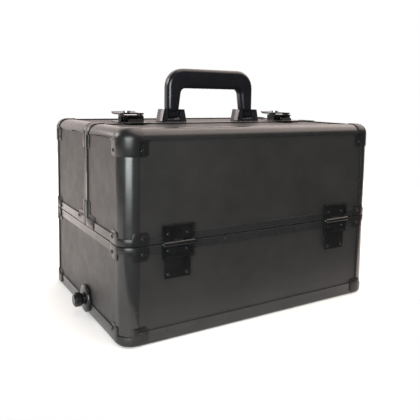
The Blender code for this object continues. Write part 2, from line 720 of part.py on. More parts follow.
def build_lever(x):
    """The folded sheet that the fingers lift: a top with a raised tip, and two flanges with trunnions."""
    side_view = [(LEVER_TIP, LEVER_LOW + TIP_LIFT), (LEVER_BEND, LEVER_LOW), (2.5 * MM, LEVER_LOW),
                 (2.5 * MM, LEVER_HIGH), (LEVER_BEND, LEVER_HIGH), (LEVER_TIP, LEVER_HIGH + TIP_LIFT)]
    top = latch_plate(x - LEVER_HALF, x + LEVER_HALF, side_view)
    notch = latch_box(x, HOOK_HALF + 1 * MM, -1.5 * MM, 13.8 * MM, LEVER_LOW - 2 * MM, LEVER_HIGH + 3 * MM)
    parts = [cut(top, [notch])]
    flange = [(15.5, 10.5), (12.5, 4.5), (10, 3.2), (5.5, 2.8), (3.1, 4), (2.5, 6), (2.5, 10.5)]
    for sign in (-1, 1):
        parts.append(latch_plate(x + sign * 11.5 * MM, x + sign * 13 * MM,
                                 [(out * MM, up * MM) for out, up in flange]))
        parts.append(latch_axle(x + sign * 14.4 * MM, LEVER_PIVOT, 1.4 * MM, 3.8 * MM))
    return cut(united(parts), [latch_axle(x, HOOK_PIVOT, 1.5 * MM, 27 * MM)])


def build_hook(x):
    """The tongue that lies over the keeper, with its pin."""
    side_view = [(11.7, 4.4), (-2, 4.4), (-7.3, 8.6), (-7.3, 9.4), (11.7, 9.4)]
    tongue = latch_plate(x - HOOK_HALF, x + HOOK_HALF, [(out * MM, up * MM) for out, up in side_view])
    return united([tongue, latch_axle(x, HOOK_PIVOT, 1.2 * MM, 26 * MM)])


def build_strike(x):
    """The foot plate across the split, with the sloped keeper."""
    low = PLATE_TOP - 0.6 * MM
    foot = latch_box(x, 13 * MM, -STRIKE_REACH, -2 * MM, GAP, PLATE_TOP)
    keeper = [(-2.7 * MM, low), (-10.5 * MM, low), (-9 * MM, 5 * MM), (-6.9 * MM, 5 * MM)]
    return united([foot, latch_plate(x - 8 * MM, x + 8 * MM, keeper)])


def build_lock(x):
    """The key cylinder on the lever, with its slot."""
    y, foot = latch_place(LOCK_OUT, LEVER_HIGH + GAP)
    height = 2.2 * MM
    barrel = cylinder((x, y, foot + height / 2), (0, 0, 1), 5 * MM, height, 20)
    slot = box((x - 0.7 * MM, y - 3 * MM, foot + 1.3 * MM), (x + 0.7 * MM, y + 3 * MM, foot + 2 * height))
    return cut(barrel, [slot])


def build_latches(case, front_pivot, rear_pivot):
    for end, sign in ENDS:
        x = sign * LATCH_X
        lever_pivot = case.empty(end + "_lever_pivot", (x, *latch_place(*LEVER_PIVOT)))
        hook_pivot = case.empty(end + "_hook_pivot", (x, *latch_place(*HOOK_PIVOT)))
        lock_pivot = case.empty(end + "_lock_pivot", (x, *latch_place(LOCK_OUT, LEVER_HIGH)))
        case.add(end + "_latch_base", build_latch_base(x), "hardware", rear_pivot)
        case.add(end + "_latch_lever", build_lever(x), "hardware", lever_pivot)
        case.add(end + "_latch_hook", build_hook(x), "hardware", hook_pivot)
        case.add(end + "_lock_cylinder", build_lock(x), "steel", lock_pivot)
        case.add(end + "_latch_strike", build_strike(x), "hardware", front_pivot)


# ---------------------------------------------------------------- whole case

def main():
    clear_scene()
    case = Case()
    pivots = {side: case.empty(half + "_lid_pivot", (0, side * HINGE_Y, SEAM_Z)) for half, side in HALVES}
    build_base(case)
    build_strap_studs(case)
    build_hinges(case, pivots)
    build_link_strips(case)
    for half, side in HALVES:
        build_lid(case, half, side, pivots[side])
        build_linkage(case, half, side, pivots[side])
    build_handle(case, pivots[1])
    build_latches(case, pivots[-1], pivots[1])
    case.finish()


main()
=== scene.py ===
"""The looks of a makeup train case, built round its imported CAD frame.

Metres, in the frame's own axes: +Z up, X along the front, the middle of the underside at the origin.
"""
import json
import math

import bmesh
import bpy
from mathutils import Matrix, Vector
from mathutils.bvhtree import BVHTree

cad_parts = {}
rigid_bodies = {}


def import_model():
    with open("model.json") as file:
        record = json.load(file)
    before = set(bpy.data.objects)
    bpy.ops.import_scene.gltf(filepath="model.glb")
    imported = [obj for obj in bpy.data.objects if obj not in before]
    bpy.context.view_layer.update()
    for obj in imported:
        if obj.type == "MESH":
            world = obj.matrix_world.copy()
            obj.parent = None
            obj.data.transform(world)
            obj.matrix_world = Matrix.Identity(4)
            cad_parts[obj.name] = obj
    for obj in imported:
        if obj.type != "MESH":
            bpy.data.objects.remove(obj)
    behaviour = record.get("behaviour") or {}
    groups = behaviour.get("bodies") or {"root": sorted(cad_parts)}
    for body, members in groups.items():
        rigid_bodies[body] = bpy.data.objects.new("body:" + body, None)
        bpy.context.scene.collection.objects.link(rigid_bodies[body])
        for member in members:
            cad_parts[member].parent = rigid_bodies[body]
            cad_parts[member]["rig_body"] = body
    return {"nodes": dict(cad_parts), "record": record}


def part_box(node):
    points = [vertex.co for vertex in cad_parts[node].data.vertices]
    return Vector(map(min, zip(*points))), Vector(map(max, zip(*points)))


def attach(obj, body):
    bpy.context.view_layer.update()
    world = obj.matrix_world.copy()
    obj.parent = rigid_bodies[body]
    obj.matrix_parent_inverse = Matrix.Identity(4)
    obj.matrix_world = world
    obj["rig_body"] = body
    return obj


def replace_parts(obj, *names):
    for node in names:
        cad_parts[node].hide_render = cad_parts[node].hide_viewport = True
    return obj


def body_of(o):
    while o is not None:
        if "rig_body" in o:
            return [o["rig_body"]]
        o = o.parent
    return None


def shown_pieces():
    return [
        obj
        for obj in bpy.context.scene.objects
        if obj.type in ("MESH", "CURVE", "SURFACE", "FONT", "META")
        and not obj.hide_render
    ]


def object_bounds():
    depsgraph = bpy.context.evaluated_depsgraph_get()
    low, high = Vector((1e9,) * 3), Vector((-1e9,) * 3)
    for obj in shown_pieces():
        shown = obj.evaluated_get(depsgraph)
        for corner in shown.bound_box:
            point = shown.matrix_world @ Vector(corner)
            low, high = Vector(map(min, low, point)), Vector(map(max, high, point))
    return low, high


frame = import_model()
cad_low, cad_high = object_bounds()

MM = 0.001
FAR = 0.4  # beyond the case on every side, for cutting blocks and rays
MICRON = 1e-6

# The case's sizes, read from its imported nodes
base_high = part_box("base_frame")[1]
lid_low, lid_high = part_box("front_lid_frame")
HALF_WIDTH = base_high.x
HALF_DEPTH = base_high.y
HEIGHT = lid_high.z
SPLIT_Y = (lid_high.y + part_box("rear_lid_frame")[0].y) / 2
EDGE_RADIUS = 18 * MM
TOP_RADIUS = 11.5 * MM
POST_X = HALF_WIDTH - EDGE_RADIUS
POST_Y = HALF_DEPTH - EDGE_RADIUS
ENDS = (("left", -1), ("right", 1))
HALVES = (("front", -1), ("rear", 1))


# ---------------------------------------------------------------- materials

class Finish:
    """A Principled material and the procedural textures that drive it."""

    def __init__(self, name, roughness, metallic=0.0, specular=0.5, sheen=0.0):
        self.material = bpy.data.materials.new(name)
        self.material.use_nodes = True
        self.tree = self.material.node_tree
        self.shader = self.tree.nodes["Principled BSDF"]
        self.shader.inputs["Metallic"].default_value = metallic
        self.shader.inputs["Roughness"].default_value = roughness
        self.shader.inputs["Specular IOR Level"].default_value = specular
        self.shader.inputs["Sheen Weight"].default_value = sheen
        self.coords = self.tree.nodes.new("ShaderNodeTexCoord").outputs["Object"]
        self.normal = None

    def node(self, kind, **values):
        made = self.tree.nodes.new(kind)
        for key, value in values.items():
            setattr(made, key, value)
        return made

    def link(self, start, end):
        self.tree.links.new(start, end)

    def noise(self, scale, detail=2.0):
        """Noise of so many cells to the metre."""
        texture = self.node("ShaderNodeTexNoise")
        texture.inputs["Scale"].default_value = scale
        texture.inputs["Detail"].default_value = detail
        self.link(self.coords, texture.inputs["Vector"])
        return texture.outputs["Fac"]

    def cells(self, scale):
        """Rounded cells, so many to the metre."""
        texture = self.node("ShaderNodeTexVoronoi", feature="SMOOTH_F1")
        texture.inputs["Scale"].default_value = scale
        self.link(self.coords, texture.inputs["Vector"])
        return texture.outputs["Distance"]

    def ramp(self, source, low, high, start=0.3, end=0.7):
        """A number that goes from low to high as the source goes from start to end."""
        ranged = self.node("ShaderNodeMapRange")
        ranged.inputs["From Min"].default_value = start
        ranged.inputs["From Max"].default_value = end
        ranged.inputs["To Min"].default_value = low
        ranged.inputs["To Max"].default_value = high
        self.link(source, ranged.inputs["Value"])
        return ranged.outputs["Result"]

    def mix(self, factor, first, second):
        """A colour between two; each is a tuple or a socket."""
        mixed = self.node("ShaderNodeMix", data_type="RGBA")
        self.link(factor, mixed.inputs["Factor"])
        for socket, value in ((mixed.inputs[6], first), (mixed.inputs[7], second)):
            if isinstance(value, tuple):
                socket.default_value = (*value, 1)
            else:
                self.link(value, socket)
        return mixed.outputs[2]

    def mottled(self, scale, detail, dark, pale):
        """A colour that drifts between two, with noise of so many cells to the metre."""
        return self.mix(self.ramp(self.noise(scale, detail), 0, 1), dark, pale)

    def colour(self, source):
        self.link(source, self.shader.inputs["Base Color"])
        return self

    def rough(self, source):
        self.link(source, self.shader.inputs["Roughness"])
        return self

    def bump(self, height, distance, strength):
        """Relief of a depth in metres, added to what is there already."""
        bump = self.node("ShaderNodeBump")
        bump.inputs["Strength"].default_value = strength
        bump.inputs["Distance"].default_value = distance
        self.link(height, bump.inputs["Height"])
        if self.normal is not None:
            self.link(self.normal, bump.inputs["Normal"])
        self.normal = bump.outputs["Normal"]
        self.link(self.normal, self.shader.inputs["Normal"])
        return self

    def edges(self, radius):
        """1 along edges, broken up by noise: where handling rubs the finish, and on the black plate also a
        painted highlight.
        """
        rounded = self.node("ShaderNodeBevel", samples=4)
        rounded.inputs["Radius"].default_value = radius
        flat = self.node("ShaderNodeNewGeometry")
        turn = self.node("ShaderNodeVectorMath", operation="DOT_PRODUCT")
        self.link(rounded.outputs["Normal"], turn.inputs[0])
        self.link(flat.outputs["Normal"], turn.inputs[1])
        # The edge mask: rubbed wear, and on the black plate also a painted highlight
        wear_and_highlight = self.node("ShaderNodeMath", operation="MULTIPLY")
        self.link(self.ramp(turn.outputs["Value"], 1.0, 0.0, 0.75, 0.97), wear_and_highlight.inputs[0])
        self.link(self.ramp(self.noise(260, 4), 0.0, 1.0, 0.42, 0.62), wear_and_highlight.inputs[1])
        return wear_and_highlight.outputs["Value"]


def panel_finish():
    """Black ABS laminate with a fine leather-like grain."""
    made = Finish("laminate", 0.5, specular=0.45)
    made.colour(made.mottled(14, 3, (0.0125, 0.0118, 0.0118), (0.0165, 0.0157, 0.0155)))
    made.rough(made.ramp(made.noise(60, 5), 0.46, 0.56))
    made.bump(made.cells(820), 0.00012, 0.35)
    return made.bump(made.noise(2600, 3), 0.00006, 0.35)


def frame_finish():
    """Black satin anodised aluminium, with the fine lines of its extrusion."""
    made = Finish("anodised_aluminium", 0.24, metallic=0.6, specular=0.5)
    colour = made.mottled(35, 4, (0.030, 0.030, 0.0305), (0.038, 0.038, 0.0385))
    made.colour(made.mix(made.edges(0.0006), colour, (0.11, 0.11, 0.113)))
    made.rough(made.ramp(made.noise(90, 5), 0.21, 0.28))
    return made.bump(made.noise(1800, 2), 0.00003, 0.3)


def bracket_finish():
    """Black satin paint on pressed steel."""
    made = Finish("painted_steel", 0.3, metallic=0.3, specular=0.38)
    colour = made.mottled(50, 4, (0.010, 0.010, 0.0105), (0.015, 0.015, 0.0155))
    made.colour(made.mix(made.edges(0.0004), colour, (0.14, 0.14, 0.143)))
    made.rough(made.ramp(made.noise(150, 5), 0.27, 0.38))
    return made.bump(made.noise(900, 3), 0.00004, 0.3)


def hardware_finish():
    """Glossy black electroplated and lacquered steel."""
    made = Finish("black_plate", 0.18, metallic=0.2, specular=0.35)
    colour = made.mottled(80, 4, (0.005, 0.005, 0.0055), (0.010, 0.010, 0.0105))
    # Paler edges: partly rubbed wear, partly a painted highlight along the lips and rims
    made.colour(made.mix(made.edges(0.0003), colour, (0.10, 0.10, 0.103)))
    made.rough(made.ramp(made.noise(240, 6), 0.13, 0.24))
    return made.bump(made.noise(420, 2), 0.00004, 0.25)


def steel_finish():
    """Zinc-plated steel."""
    made = Finish("zinc_plate", 0.35, metallic=1.0)
    made.colour(made.mottled(120, 5, (0.30, 0.30, 0.31), (0.46, 0.46, 0.47)))
    made.rough(made.ramp(made.noise(300, 5), 0.26, 0.44))
    return made.bump(made.noise(1500, 2), 0.00003, 0.3)


def plastic_finish():
    """Black moulded plastic with a spark-eroded texture."""
    made = Finish("moulded_plastic", 0.38, specular=0.3)
    made.colour(made.mottled(40, 3, (0.005, 0.005, 0.0068), (0.008, 0.008, 0.0102)))
    made.rough(made.ramp(made.noise(200, 5), 0.20, 0.30))
    return made.bump(made.noise(2200, 3), 0.00002, 0.2)


def tray_finish():
    """Dark grained moulded trays."""
    made = Finish("tray_plastic", 0.5)
    made.colour(made.mottled(25, 3, (0.024, 0.024, 0.024), (0.032, 0.032, 0.032)))
    made.rough(made.ramp(made.noise(120, 4), 0.42, 0.58))
    made.bump(made.cells(1100), 0.00008, 0.3)
    return made.bump(made.noise(3000, 2), 0.00004, 0.3)


def foam_finish():
    """Black flocked lining: dull, with a soft nap and paler brushed patches."""
    made = Finish("flocked_foam", 0.95, specular=0.2, sheen=0.35)
    made.colour(made.mottled(45, 6, (0.014, 0.014, 0.015), (0.030, 0.030, 0.031)))
    made.rough(made.ramp(made.noise(500, 3), 0.88, 1.0))
    made.bump(made.noise(1400, 6), 0.00025, 0.6)
    return made.bump(made.noise(60, 3), 0.0006, 0.3)


FINISHES = {
    "panel": panel_finish().material,
    "frame": frame_finish().material,
    "bracket": bracket_finish().material,
    "hardware": hardware_finish().material,
    "steel": steel_finish().material,
    "plastic": plastic_finish().material,
    "tray": tray_finish().material,
    "foam": foam_finish().material,
}


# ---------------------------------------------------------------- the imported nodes

EDGE_BREAK = 0.25 * MM


def smooth_frame(node):
    """Shade a CAD node smooth across its curves, with its sharp edges just broken."""
    if "custom_normal" in node.data.attributes:
        node.data.attributes.remove(node.data.attributes["custom_normal"])
    node.data.shade_smooth()
    weld = node.modifiers.new("weld", "WELD")
    weld.merge_threshold = 10 * MICRON
    edges = node.modifiers.new("edges", "BEVEL")
    edges.width = EDGE_BREAK
    edges.segments = 2
    edges.limit_method = "ANGLE"
    edges.angle_limit = math.radians(35)
    edges.harden_normals = True


for part in frame["record"]["subparts"]:
    node = frame["nodes"][part["node"]]
    node.data.materials.clear()
    node.data.materials.append(FINISHES[part["material_slot"]])
    smooth_frame(node)


# ---------------------------------------------------------------- mesh helpers

def mesh_object(name, build):
    """A new object whose mesh is filled by build(bm)."""
    mesh = bpy.data.meshes.new(name)
    bm = bmesh.new()
    build(bm)
    bm.to_mesh(mesh)
    bm.free()
    made = bpy.data.objects.new(name, mesh)
    bpy.context.scene.collection.objects.link(made)
    return made


def settle(shape):
    """Replace an object's mesh by its evaluated one, and drop its modifiers."""
    bpy.context.view_layer.update()
    evaluated = shape.evaluated_get(bpy.context.evaluated_depsgraph_get())
    mesh = bpy.data.meshes.new_from_object(evaluated)
    shape.modifiers.clear()
    shape.data = mesh


def boolean(shape, other, operation):
    """Change a shape by another, which is used up."""
    modifier = shape.modifiers.new(operation.lower(), "BOOLEAN")
    modifier.object = other
    modifier.operation = operation
    modifier.solver = "EXACT"
    settle(shape)
    bpy.data.objects.remove(other, do_unlink=True)


def united(shapes):
    """One shape from several."""
    first = shapes[0]
    for other in shapes[1:]:
        boolean(first, other, "UNION")
    return first


SLAB_SEGMENTS = 5


def slab(low, high, axis=None, radius=0.0):
    """A box between two corners, its edges along one axis rounded."""
    low, high = Vector(low), Vector(high)
    size = high - low
    place = Matrix.Translation((low + high) / 2) @ Matrix.Diagonal((size.x, size.y, size.z, 1))

    def build(bm):
        bmesh.ops.create_cube(bm, size=1.0, matrix=place)
        if radius:
            along = "xyz".index(axis)
            round_edges = [edge for edge in bm.edges
                           if abs((edge.verts[1].co - edge.verts[0].co)[along]) > size[along] / 2]
            bmesh.ops.bevel(bm, geom=round_edges, offset=radius, offset_type="OFFSET",
                            segments=SLAB_SEGMENTS, profile=0.5, affect="EDGES")

    return mesh_object("slab", build)


def lathe(profile, steps):
    """A turned mesh about +Z; profile runs from the rim inwards as (radius, height) and ends on the axis."""
    def build(bm):
        rings = []
        for radius, height in profile[:-1]:
            rings.append([bm.verts.new((radius * math.cos(2 * math.pi * step / steps),
                                        radius * math.sin(2 * math.pi * step / steps), height))
                          for step in range(steps)])
        tip = bm.verts.new((0, 0, profile[-1][1]))
        for lower, upper in zip(rings, rings[1:]):
            for step in range(steps):
                after = (step + 1) % steps
                bm.faces.new((lower[step], lower[after], upper[after], upper[step]))
        for step in range(steps):
            bm.faces.new((rings[-1][step], rings[-1][(step + 1) % steps], tip))
        bm.faces.new(list(reversed(rings[0])))

    return mesh_object("lathe", build)


def copied(source, name):
    made = bpy.data.objects.new(name, source.data.copy())
    bpy.context.scene.collection.objects.link(made)
    return made


def mirrored(source, across_x, across_y):
    """A copy on the other side of the plane x = 0, of the plane y = across_y, or of both."""
    made = copied(source, "mirrored")
    turn = Matrix.Identity(4)
    if across_x:
        turn = Matrix.Diagonal((-1, 1, 1, 1))
    if across_y is not None:
        turn = Matrix.Translation((0, 2 * across_y, 0)) @ Matrix.Diagonal((1, -1, 1, 1)) @ turn
    made.data.transform(turn)
    if turn.determinant() < 0:
        made.data.flip_normals()
    return made


SHARP = math.radians(42)  # a turn above this stays a sharp edge in the shading


def shade(shape, sharp=SHARP):
    shape.data.shade_smooth()
    shape.data.set_sharp_from_angle(angle=sharp)


def soften(shape, width, segments=2, angle=50):
    """Round a piece's edges, and shade it smooth between them."""
    bevel = shape.modifiers.new("edges", "BEVEL")
    bevel.width = width
    bevel.segments = segments
    bevel.limit_method = "ANGLE"
    bevel.angle_limit = math.radians(angle)
    bevel.harden_normals = False
    settle(shape)
    shade(shape)
    return shape


def dress(shape, name, body, finish):
    """Name a finished piece, give it its finish, and let it ride on a body."""
    shape.name = name
    shape.data.name = name
    shape.data.materials.clear()
    shape.data.materials.append(FINISHES[finish])
    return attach(shape, body)


# ---------------------------------------------------------------- the case's outer surface

SEAM_RAIL = 9 * MM
BOTTOM_RAIL = 15 * MM
SPLIT_RAIL = 4.5 * MM
PANEL_RECESS = 1.5 * MM
KNEE_Z = HEIGHT - TOP_RADIUS
UNDER_SKIN = 0.06 * MM  # sheet metal starts this far above the frame
OVER_SKIN = 0.9 * MM  # and ends this far above it
ENVELOPE_SEGMENTS = 12


def envelope(grow):
    """The case's outer form grown by a distance, with round posts and top edges."""
    low = Vector((-HALF_WIDTH - grow, -HALF_DEPTH - grow, -grow))
    high = Vector((HALF_WIDTH + grow, HALF_DEPTH + grow, HEIGHT + grow))
    form = slab(low, high)
    bm = bmesh.new()
    bm.from_mesh(form.data)
    posts = [edge for edge in bm.edges if abs(edge.verts[0].co.z - edge.verts[1].co.z) > 1 * MM]
    bmesh.ops.bevel(bm, geom=posts, offset=EDGE_RADIUS + grow, offset_type="OFFSET",
                    segments=ENVELOPE_SEGMENTS, profile=0.5, affect="EDGES")
    ceiling = high.z - 0.01 * MM
    top_edges = [edge for edge in bm.edges if min(vert.co.z for vert in edge.verts) > ceiling]
    bmesh.ops.bevel(bm, geom=top_edges, offset=TOP_RADIUS + grow, offset_type="OFFSET",
                    segments=ENVELOPE_SEGMENTS, profile=0.5, affect="EDGES")
    bm.to_mesh(form.data)
    bm.free()
    return form


def surface(grow):
    """The frame's outer form with the panels' recesses sunk in it, all grown by a distance."""
    form = envelope(grow)
    deep_y = HALF_DEPTH - PANEL_RECESS + grow
    deep_x = HALF_WIDTH - PANEL_RECESS + grow
    deep_z = HEIGHT - PANEL_RECESS + grow
    wide_x = POST_X - grow
    base_band = (BOTTOM_RAIL + grow, base_high.z - SEAM_RAIL - grow)
    lid_band = (lid_low.z + SEAM_RAIL + grow, KNEE_Z - grow)
    for side in (-1, 1):
        near = SPLIT_Y + side * (SPLIT_RAIL + grow)
        far = side * (POST_Y - grow)
        for low, high in (base_band, lid_band):
            ys = sorted((side * deep_y, side * FAR))
            boolean(form, slab((-wide_x, ys[0], low), (wide_x, ys[1], high)), "DIFFERENCE")
        for sign in (-1, 1):
            xs = sorted((sign * deep_x, sign * FAR))
            ys = sorted((near, far))
            boolean(form, slab((xs[0], ys[0], lid_band[0]), (xs[1], ys[1], lid_band[1])), "DIFFERENCE")
        ys = sorted((near, far))
        boolean(form, slab((-wide_x, ys[0], deep_z), (wide_x, ys[1], FAR)), "DIFFERENCE")
    for sign in (-1, 1):
        xs = sorted((sign * deep_x, sign * FAR))
        end_recess = slab((xs[0], grow - POST_Y, base_band[0]), (xs[1], POST_Y - grow, base_band[1]))
        boolean(form, end_recess, "DIFFERENCE")
    return form


under_skin = surface(UNDER_SKIN)
over_skin = surface(OVER_SKIN)


SHEET_EDGE = 0.3 * MM
BAND_OVERLAP = 3 * MM
TAB_X = (146 * MM, 164 * MM)
TAB_Y = (94 * MM, 112 * MM)
TAB_DEPTH = 4 * MM
TAB_CORNER = 3.2 * MM


def pressed(regions):
    """Sheet metal pressed over the frame and panels, where a union of blocks says."""
    piece = copied(over_skin, "pressed")
    boolean(piece, united(regions), "INTERSECT")
    boolean(piece, copied(under_skin, "inner"), "DIFFERENCE")
    return soften(piece, SHEET_EDGE)


def corner_regions(low, high, tab_low, tab_high):
    """A band round the post at +X +Y, and a rounded tab on each face beside it."""
    band = slab((POST_X - BAND_OVERLAP, POST_Y - BAND_OVERLAP, low), (FAR, FAR, high))
    front_tab = slab((TAB_X[0], POST_Y + TAB_DEPTH, tab_low), (TAB_X[1], FAR, tab_high), "y", TAB_CORNER)
    side_tab = slab((POST_X + TAB_DEPTH, TAB_Y[0], tab_low), (FAR, TAB_Y[1], tab_high), "x", TAB_CORNER)
    return [band, front_tab, side_tab]


def on_corners(piece, label, bodies):
    """The same piece at all four corners; bodies are those of the front and of the rear."""
    for half, side in HALVES:
        for end, sign in ENDS:
            copy = mirrored(piece, sign < 0, 0.0 if side < 0 else None)
            dress(copy, half + "_" + end + "_" + label, bodies[half], "bracket")
    bpy.data.objects.remove(piece, do_unlink=True)


def on_splits(piece, label):
    """The same piece on both sides of the split, at both ends of the case."""
    for half, side in HALVES:
        for end, sign in ENDS:
            copy = mirrored(piece, sign < 0, SPLIT_Y if side < 0 else None)
            dress(copy, half + "_" + end + "_" + label, half + "_lid", "bracket")
    bpy.data.objects.remove(piece, do_unlink=True)


BASE_BODIES = {"front": "base", "rear": "base"}
LID_BODIES = {"front": "front_lid", "rear": "rear_lid"}


SEAM_GAP = 0.2 * MM  # between the sheet metal and the edge where the lids part from the box
SPLIT_GAP = 0.6 * MM
FOOT_BAND = (3 * MM, 11 * MM)
FOOT_TAB = (3 * MM, 20 * MM)
BASE_BAND_LOW = 98 * MM
BASE_TAB_LOW = 90 * MM
LID_BAND_HIGH = 114 * MM
LID_TAB_HIGH = 120.5 * MM
CAP_DEPTH = 16.5 * MM
SPLIT_STRIP = 11 * MM
SPLIT_TOP_X = 155 * MM
SPLIT_TOP_DEPTH = 16 * MM
ELBOW_ARM = 28 * MM
ELBOW_ARM_HIGH = 121 * MM
ELBOW_HIGH = 136 * MM


def add_corner_metal():
    """The sheet metal on the posts: at the foot, on both sides of the seam and over the top corners."""
    on_corners(pressed(corner_regions(*FOOT_BAND, *FOOT_TAB)), "foot_bracket", BASE_BODIES)
    seam = base_high.z - SEAM_GAP
    base_metal = corner_regions(BASE_BAND_LOW, seam, BASE_TAB_LOW, seam)
    on_corners(pressed(base_metal), "base_bracket", BASE_BODIES)
    seam = lid_low.z + SEAM_GAP
    lid_metal = corner_regions(seam, LID_BAND_HIGH, seam, LID_TAB_HIGH)
    on_corners(pressed(lid_metal), "lid_bracket", LID_BODIES)
    cap_low = KNEE_Z - CAP_DEPTH
    cap = corner_regions(cap_low, FAR, cap_low, KNEE_Z + 2 * MM)
    for back_x, back_y in ((6 * MM, 3 * MM), (3 * MM, 6 * MM)):
        cap.append(slab((POST_X - back_x, POST_Y - back_y, KNEE_Z - 4 * MM), (FAR, FAR, FAR)))
    on_corners(pressed(cap), "corner_cap", LID_BODIES)


def add_split_metal():
    """The sheet metal on the ends, beside the split: a strip over the top and an elbow on the seam."""
    near = SPLIT_Y + SPLIT_GAP
    far = near + SPLIT_STRIP
    top = [slab((SPLIT_TOP_X, near, KNEE_Z - SPLIT_TOP_DEPTH), (FAR, far, FAR), "x", 1.5 * MM)]
    on_splits(pressed(top), "split_bracket")
    low = lid_low.z + SEAM_GAP
    elbow = [slab((POST_X, near, low), (FAR, far, ELBOW_HIGH), "x", 2 * MM),
             slab((POST_X, near, low), (FAR, near + ELBOW_ARM, ELBOW_ARM_HIGH), "x", 2 * MM)]
    on_splits(pressed(elbow), "elbow_bracket")


add_corner_metal()
add_split_metal()
for spare in (under_skin, over_skin):
    bpy.data.objects.remove(spare, do_unlink=True)


# ---------------------------------------------------------------- carrying handle

grip_low, grip_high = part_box("handle_grip")
bracket_low, bracket_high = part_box("handle_right_bracket")
BRACKET_X = (bracket_low.x + bracket_high.x) / 2
BRACKET_Y = (bracket_low.y + bracket_high.y) / 2
HANDLE_PIVOT_Z = HEIGHT + 10.5 * MM
LEG_WIDTH = 16 * MM
GRIP_CORNER = 24 * MM
GRIP_UNDERSIDE_Z = grip_high.z - 25.5 * MM
INNER_CORNER = 7 * MM
LEG_TAPER = 3 * MM
GRIP_ROUNDING = 5.4 * MM
TONGUE_HALF = 4.6 * MM
TONGUE_INSET = 0.8 * MM
TONGUE_CORNER = 4.4 * MM
CHEEK_GAP = 1.3 * MM  # between a leg and a bracket's cheek
CHEEK_LEAN = 3.5 * MM
FOOT_THICKNESS = 1.4 * MM
PIVOT_RADIUS = 2.2 * MM
SUNK = 0.4 * MM  # how deep the cheeks and the sill start inside the foot


def arc(centre, radius, start, steps=8):
    """A quarter turn of (x, z) points from an angle in degrees."""
    turns = [math.radians(start + 90 * step / steps) for step in range(steps + 1)]
    return [(centre[0] + radius * math.cos(turn), centre[1] + radius * math.sin(turn)) for turn in turns]


def drawn(outline, start, end):
    """An outline of (x, z) points, drawn out along Y."""
    def build(bm):
        face = bm.faces.new([bm.verts.new((x, start, z)) for x, z in outline])
        made = bmesh.ops.extrude_face_region(bm, geom=[face])
        far = [item for item in made["geom"] if isinstance(item, bmesh.types.BMVert)]
        bmesh.ops.translate(bm, verts=far, vec=(0, end - start, 0))
        bmesh.ops.recalc_face_normals(bm, faces=bm.faces[:])

    return mesh_object("drawn", build)


def grip_outline():
    """The grip from the front: round outer corners, a straight underside and legs that taper."""
    outer_x = grip_high.x
    inner_x = outer_x - LEG_WIDTH
    corner_x, corner_z = outer_x - GRIP_CORNER, grip_high.z - GRIP_CORNER
    under_x, under_z = inner_x - LEG_TAPER - INNER_CORNER, GRIP_UNDERSIDE_Z - INNER_CORNER
    leg_foot = HANDLE_PIVOT_Z + 2.5 * MM
    outline = [(outer_x, leg_foot)]
    outline += arc((corner_x, corner_z), GRIP_CORNER, 0)
    outline += arc((-corner_x, corner_z), GRIP_CORNER, 90)
    outline += [(-outer_x, leg_foot), (-inner_x, leg_foot)]
    outline += reversed(arc((-under_x, under_z), INNER_CORNER, 90, 4))
    outline += reversed(arc((under_x, under_z), INNER_CORNER, 0, 4))
    outline.append((inner_x, leg_foot))
    return outline


def add_grip():
    """The moulded grip: rounded all over, with a thinner tongue at the foot of each leg."""
    grip = soften(drawn(grip_outline(), grip_low.y, grip_high.y), GRIP_ROUNDING, segments=6, angle=60)
    middle = (grip_low.y + grip_high.y) / 2
    inner_x = grip_high.x - LEG_WIDTH
    for _, sign in ENDS:
        xs = sorted((sign * (inner_x + TONGUE_INSET), sign * (grip_high.x - TONGUE_INSET)))
        tongue = slab((xs[0], middle - TONGUE_HALF, HANDLE_PIVOT_Z - 6 * MM),
                      (xs[1], middle + TONGUE_HALF, HANDLE_PIVOT_Z + 9 * MM), "x", TONGUE_CORNER)
        boolean(grip, tongue, "UNION")
    shade(grip)
    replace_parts(dress(grip, "grip_moulding", "handle", "plastic"), "handle_grip")


def bracket_parts(x):
    """A bracket round the plane of x: a foot, leaning cheeks, a low sill in front and the pivot's stubs."""
    half_foot = bracket_high.x - BRACKET_X
    half_top = half_foot - CHEEK_LEAN
    cheek_in = LEG_WIDTH / 2 + CHEEK_GAP
    sunk_z = bracket_low.z + SUNK
    foot_high = (x + half_foot, bracket_high.y, bracket_low.z + FOOT_THICKNESS)
    parts = [slab((x - half_foot, bracket_low.y, bracket_low.z), foot_high, "z", 1 * MM)]
    for cheek in (-1, 1):
        outline = [(cheek_in, sunk_z), (half_foot - 0.2 * MM, sunk_z),
                   (half_top, bracket_high.z), (cheek_in, bracket_high.z)]
        parts.append(drawn([(x + cheek * across, up) for across, up in outline],
                           bracket_low.y + 0.2 * MM, bracket_high.y - 0.2 * MM))
    parts.append(slab((x - cheek_in - 1 * MM, bracket_low.y + 0.1 * MM, sunk_z),
                      (x + cheek_in + 1 * MM, bracket_low.y + 3 * MM, HEIGHT + 4 * MM), "x", 1.2 * MM))
    for cheek in (-1, 1):
        xs = sorted((x + cheek * (cheek_in + 3 * MM), x + cheek * (LEG_WIDTH / 2 - 0.5 * MM)))
        parts.append(slab((xs[0], BRACKET_Y - PIVOT_RADIUS, HANDLE_PIVOT_Z - PIVOT_RADIUS),
                          (xs[1], BRACKET_Y + PIVOT_RADIUS, HANDLE_PIVOT_Z + PIVOT_RADIUS), "x", 2.1 * MM))
    return parts


def add_handle_brackets():
    for end, sign in ENDS:
        bracket = soften(united(bracket_parts(sign * BRACKET_X)), 0.5 * MM)
        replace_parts(dress(bracket, end + "_handle_bracket", "rear_lid", "plastic"),
                    "handle_" + end + "_bracket")


add_grip()
add_handle_brackets()


# ---------------------------------------------------------------- rivets

# A rivet's head from its rim to its middle, as (radius, height) in millimetres
RIVET = [(2.1, -0.25), (2.1, 0.12), (1.85, 0.5), (1.35, 0.78),
         (0.95, 0.85), (0.78, 0.7), (0.7, 0.45), (0, 0.42)]
